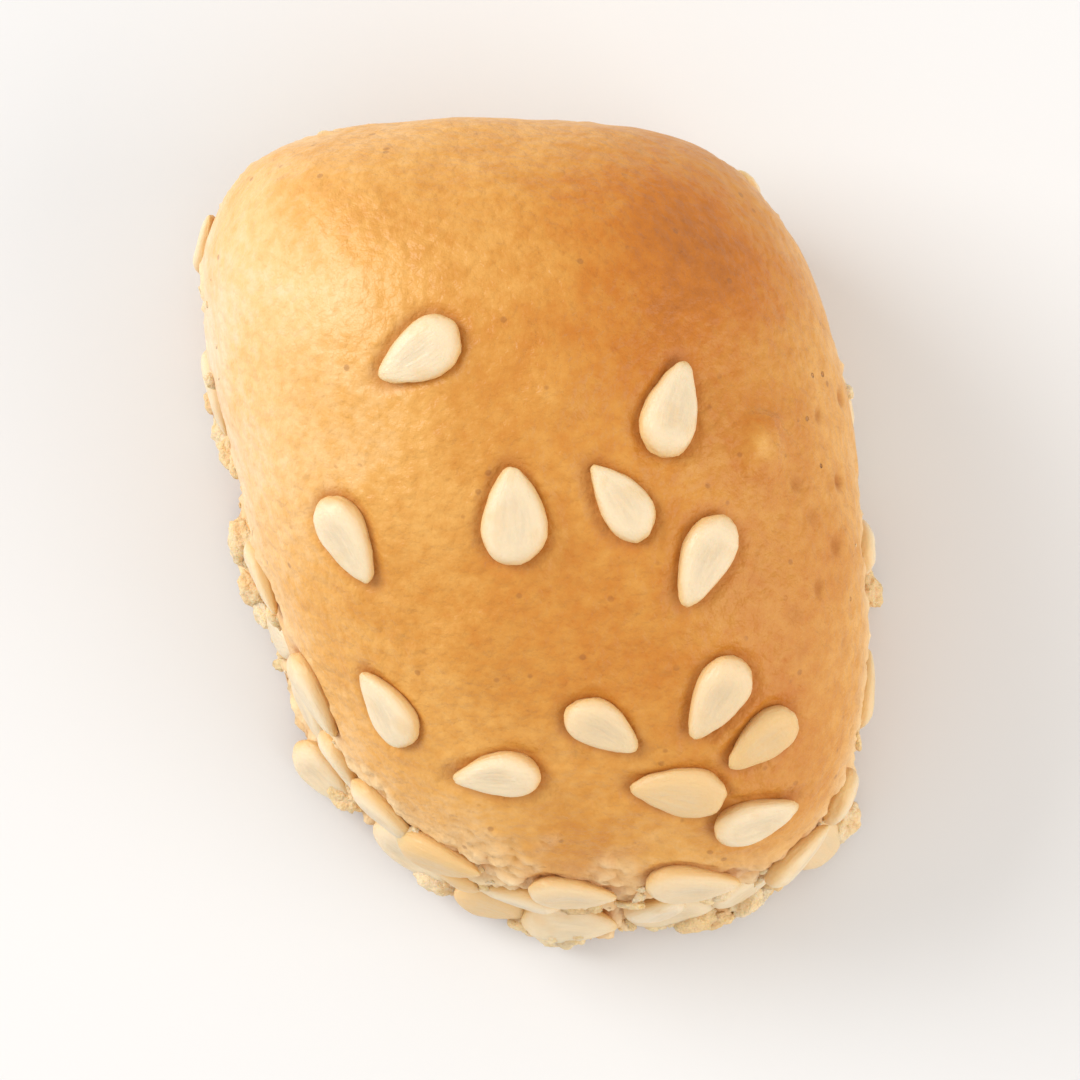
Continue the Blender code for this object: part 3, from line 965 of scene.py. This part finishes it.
def new_material(name, roughness, subsurface=0.0, radius=(1, 1, 1)):
    """A material, its node tree and its shader. The radius, in mm, is how far red, green and blue wander."""
    material = bpy.data.materials.new(name)
    material.use_nodes = True
    shader = material.node_tree.nodes["Principled BSDF"]
    shader.inputs["Roughness"].default_value = roughness
    shader.inputs["Specular IOR Level"].default_value = SPECULAR_LEVEL
    shader.inputs["Subsurface Weight"].default_value = subsurface
    shader.inputs["Subsurface Radius"].default_value = radius
    shader.inputs["Subsurface Scale"].default_value = MM
    print(f"{name}: roughness {roughness}, subsurface weight {subsurface}")
    return material, material.node_tree, shader


def bumped(tree, shader, height, distance):
    bump = add_node(tree, "ShaderNodeBump", {"Height": height, "Distance": distance, "Strength": 1.0})
    tree.links.new(bump.outputs[0], shader.inputs["Normal"])


def stored(tree, name):
    """A number that the mesh carries on its points."""
    return add_node(tree, "ShaderNodeAttribute", attribute_name=name).outputs["Fac"]


def millimetres(tree):
    """Object coordinates, in millimetres."""
    place = add_node(tree, "ShaderNodeTexCoord").outputs["Object"]
    return vector_node(tree, "SCALE", {0: place, "Scale": 1 / MM})


def use_group(tree, group, inputs):
    return add_node(tree, "ShaderNodeGroup", inputs, node_tree=group).outputs


crust_material, tree, shader = new_material("crust", roughness=0.45)

# %% The crust
SPECK_BROWN = (0.30, 0.10, 0.02)
SPECK_SHARE = 0.45
PIT_SHARE = 0.9
GLOSSY, MATT = 0.40, 0.75  # roughness of whole skin and of broken dough

place = millimetres(tree)
hollow, crumbly = stored(tree, "hollow"), stored(tree, "crumbly")
baked = {"Place": place, "Browning and light": stored(tree, "browning_and_light"), "Hollow": hollow, "Crumbly": crumbly}
colour = use_group(tree, oven_colour, baked)["Color"]
grain = use_group(tree, baked_grain, {"Place": place, "Fineness": 1.0})
specks = math_node(tree, "MULTIPLY", grain["Specks"], SPECK_SHARE)
specked = mixed(tree, specks, colour, (*SPECK_BROWN, 1))
# painted shade, darker and redder, in the pits of the grain where the strip is pitted
pits = use_group(tree, baked_grain, {"Place": place, "Fineness": 1.35})["Specks"]
pits = math_node(tree, "MULTIPLY", math_node(tree, "MULTIPLY", pits, stored(tree, "pitted")), PIT_SHARE)
pitted = mixed(tree, pits, specked, (*HOLLOW_SHADE_RED, 1))
tree.links.new(pitted, shader.inputs["Base Color"])
rough = spread(tree, math_node(tree, "MAXIMUM", hollow, crumbly), 0, 1, GLOSSY, MATT)
tree.links.new(rough, shader.inputs["Roughness"])
bumped(tree, shader, math_node(tree, "SUBTRACT", grain["Height"], pits), 0.12 * MM)
crust.data.materials.append(crust_material)
print(f"{crust_material.name}: {len(tree.nodes)} nodes")

# %% [markdown]
# ### The sesame's finish
# A hulled seed is ivory and glossier than dough, with faint streaks along its sunken face. Streaks could be
# painted on a UV map, but each seed carries its own coordinates in `within`, so one pattern lies the same
# way on all of them. Seeds with a high tint are toasted golden, and every rim is darker golden where it
# meets the dough. A little subsurface light keeps them from looking like plaster: light enters, wanders a
# fraction of a millimetre, and leaves warmer.

# %% A seed's face and streaks
SEED_FACE = (0.72, 0.59, 0.40)
STREAK_SHAPE = (2.5, 11, 11)  # drawn out along the seed
TINT_STEP = 50  # moves the streaks on, so that they differ from seed to seed

sesame_material, tree, shader = new_material("sesame", 0.36, subsurface=0.30, radius=(0.6, 0.4, 0.25))
place = millimetres(tree)
tint = stored(tree, "tint")
within = add_node(tree, "ShaderNodeAttribute", attribute_name="within").outputs["Vector"]
flat_within = vector_node(tree, "MULTIPLY", {0: within, 1: (1, 1, 0)})
from_middle = add_node(tree, "ShaderNodeVectorMath", {0: flat_within}, operation="LENGTH").outputs["Value"]
face = spread(tree, from_middle, 0.12, 0.44, 0.75, 0)
moved = add_node(tree, "ShaderNodeCombineXYZ", {"X": math_node(tree, "MULTIPLY", tint, TINT_STEP)}).outputs[0]
drawn_out = vector_node(tree, "MULTIPLY", {0: within, 1: STREAK_SHAPE})
streaks = noise_value(tree, vector_node(tree, "ADD", {0: drawn_out, 1: moved}), 1.0, detail=3, roughness=0.6)
shaded_face = math_node(tree, "MULTIPLY", face, spread(tree, streaks, 0.3, 0.65, 0.3, 1))
print(f"{len(tree.nodes)} nodes draw the face")

# %% Toasting the seeds
SEED_IVORY = (0.86, 0.70, 0.47)
SEED_TOASTED = (0.78, 0.50, 0.20)
RIM_DARKENING = 0.95
SPOT_TOAST = 0.35
FACE_TOAST = 0.6  # a toasted seed's face takes this much of its body's toasting

toasted = spread(tree, tint, TOASTED_TINT, 1.0, 0.0, 0.8)
over_dough = add_node(tree, "ShaderNodeSeparateXYZ", {0: within}).outputs["Z"]
# darker golden towards the rim, where the seed meets the dough
rim_darkening = spread(tree, over_dough, 0.0, 0.36, RIM_DARKENING, 0)
spots = spread(tree, noise_value(tree, place, 0.9, detail=2), 0.5, 0.7, 0, SPOT_TOAST)
toast_and_rim = math_node(tree, "MAXIMUM", math_node(tree, "MAXIMUM", toasted, spots), rim_darkening)
body = mixed(tree, toast_and_rim, (*SEED_IVORY, 1), (*SEED_TOASTED, 1))
netted = mixed(tree, shaded_face, body, (*SEED_FACE, 1))
face_toast = math_node(tree, "MULTIPLY", toasted, FACE_TOAST)
golden = mixed(tree, face_toast, netted, (*SEED_TOASTED, 1))
tree.links.new(golden, shader.inputs["Base Color"])
grain = use_group(tree, baked_grain, {"Place": place, "Fineness": 2.4})
seed_relief = math_node(tree, "ADD", math_node(tree, "MULTIPLY", grain["Height"], 0.5), streaks)
bumped(tree, shader, seed_relief, 0.040 * MM)
sesame_seeds.data.materials.append(sesame_material)
print(f"{sesame_material.name}: {len(tree.nodes)} nodes")

# %% [markdown]
# ### The crumb's finish
# A crumb is the broken inside of the dough: pale, matt and coarse. It could have a colour of its own, but
# the oven colour group knows pale dough already, so it is used again with little browning, and each crumb
# adds its own tint. Light goes further into it than into a seed.

# %% The crumb
crumb_material, tree, shader = new_material("crumb", 0.7, subsurface=0.30, radius=(0.9, 0.5, 0.25))
place = millimetres(tree)
own = spread(tree, stored(tree, "tint"), 0, 1, 0.0, 0.36)
spotted = spread(tree, noise_value(tree, place, 1.6, detail=3, roughness=0.6), 0.4, 0.7, -0.06, 0.22)
baked = {"Place": place, "Browning and light": math_node(tree, "ADD", own, spotted), "Hollow": 0.0, "Crumbly": 0.6}
colour = use_group(tree, oven_colour, baked)["Color"]
tree.links.new(colour, shader.inputs["Base Color"])
grain = use_group(tree, baked_grain, {"Place": place, "Fineness": 2.6})
bumped(tree, shader, grain["Height"], 0.13 * MM)
crumb_piece.data.materials.append(crumb_material)
print(f"{crumb_material.name}: {len(tree.nodes)} nodes")

# %% [markdown]
# ## The picture
# The photograph looks straight down, in soft light from the upper left. A large area light makes the
# wide, gentle highlight on the crust, a wider, weaker and warmer one lifts the shaded flank, the pale world
# fills the rest, and a pale floor throws light back up from below.

# %% The floor
FLOOR_RADIUS = 0.6
FLOOR_PALE = (0.80, 0.80, 0.80, 1)

floor_mesh = bmesh.new()
bmesh.ops.create_circle(floor_mesh, cap_ends=True, segments=96, radius=FLOOR_RADIUS)
floor = add_piece("floor", floor_mesh)
floor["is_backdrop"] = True
floor_material, tree, shader = new_material("floor", roughness=0.6)
shader.inputs["Base Color"].default_value = FLOOR_PALE
floor.data.materials.append(floor_material)

# %% Lights and world
LIGHTS = (  # place, width in metres, power in watts, and colour
    ("window", Vector((-0.33, 0.16, 0.24)), 0.26, 1.25, (1.0, 0.99, 0.98)),
    ("reflector", Vector((0.32, -0.12, 0.20)), 0.36, 0.72, (1.0, 0.92, 0.82)),
)
WORLD_COLOUR = (1.0, 0.99, 0.98, 1)
WORLD_STRENGTH = 0.74

for name, light_place, width, power, colour in LIGHTS:
    light_data = bpy.data.lights.new(name, "AREA")
    light_data.size = width
    light_data.energy = power
    light_data.color = colour
    light = bpy.data.objects.new(name, light_data)
    light.location = light_place
    light.rotation_euler = (-light_place).to_track_quat("-Z", "Y").to_euler()
    light.visible_camera = False
    bpy.context.scene.collection.objects.link(light)
    print(f"{name}: {power} W from {light_place.length * 100:.0f} cm away")

world = bpy.data.worlds.new("studio")
world.use_nodes = True
world.node_tree.nodes["Background"].inputs["Color"].default_value = WORLD_COLOUR
world.node_tree.nodes["Background"].inputs["Strength"].default_value = WORLD_STRENGTH
bpy.context.scene.world = world
bpy.context.scene.view_settings.view_transform = "Standard"

# %% The camera
CAMERA_HEIGHT = 0.206
CAMERA_LENS = 200

camera_data = bpy.data.cameras.new("camera")
camera_data.lens = CAMERA_LENS
camera = bpy.data.objects.new("camera", camera_data)
camera.location = (0, 0, CAMERA_HEIGHT)
bpy.context.scene.collection.objects.link(camera)
bpy.context.scene.camera = camera
print(f"the camera looks straight down from {CAMERA_HEIGHT / MM:.0f} mm over the tray")

# %% [markdown]
# ## Handing over
# Each new piece rides on the biscuit's one body and stands for its solid, which is then hidden. The box
# of the finished pieces is measured and printed, as the solid's was at the start.

# %% Ride, replace and measure
for piece, slot in ((crust, "crust"), (sesame_seeds, "sesame"), (crumb_piece, "crust")):
    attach(piece, "root")
    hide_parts("kaak_biscuit")

low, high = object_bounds()
size = (high - low) / MM
print(f"dressed biscuit: {size.x:.1f} x {size.y:.1f} x {size.z:.1f} mm")
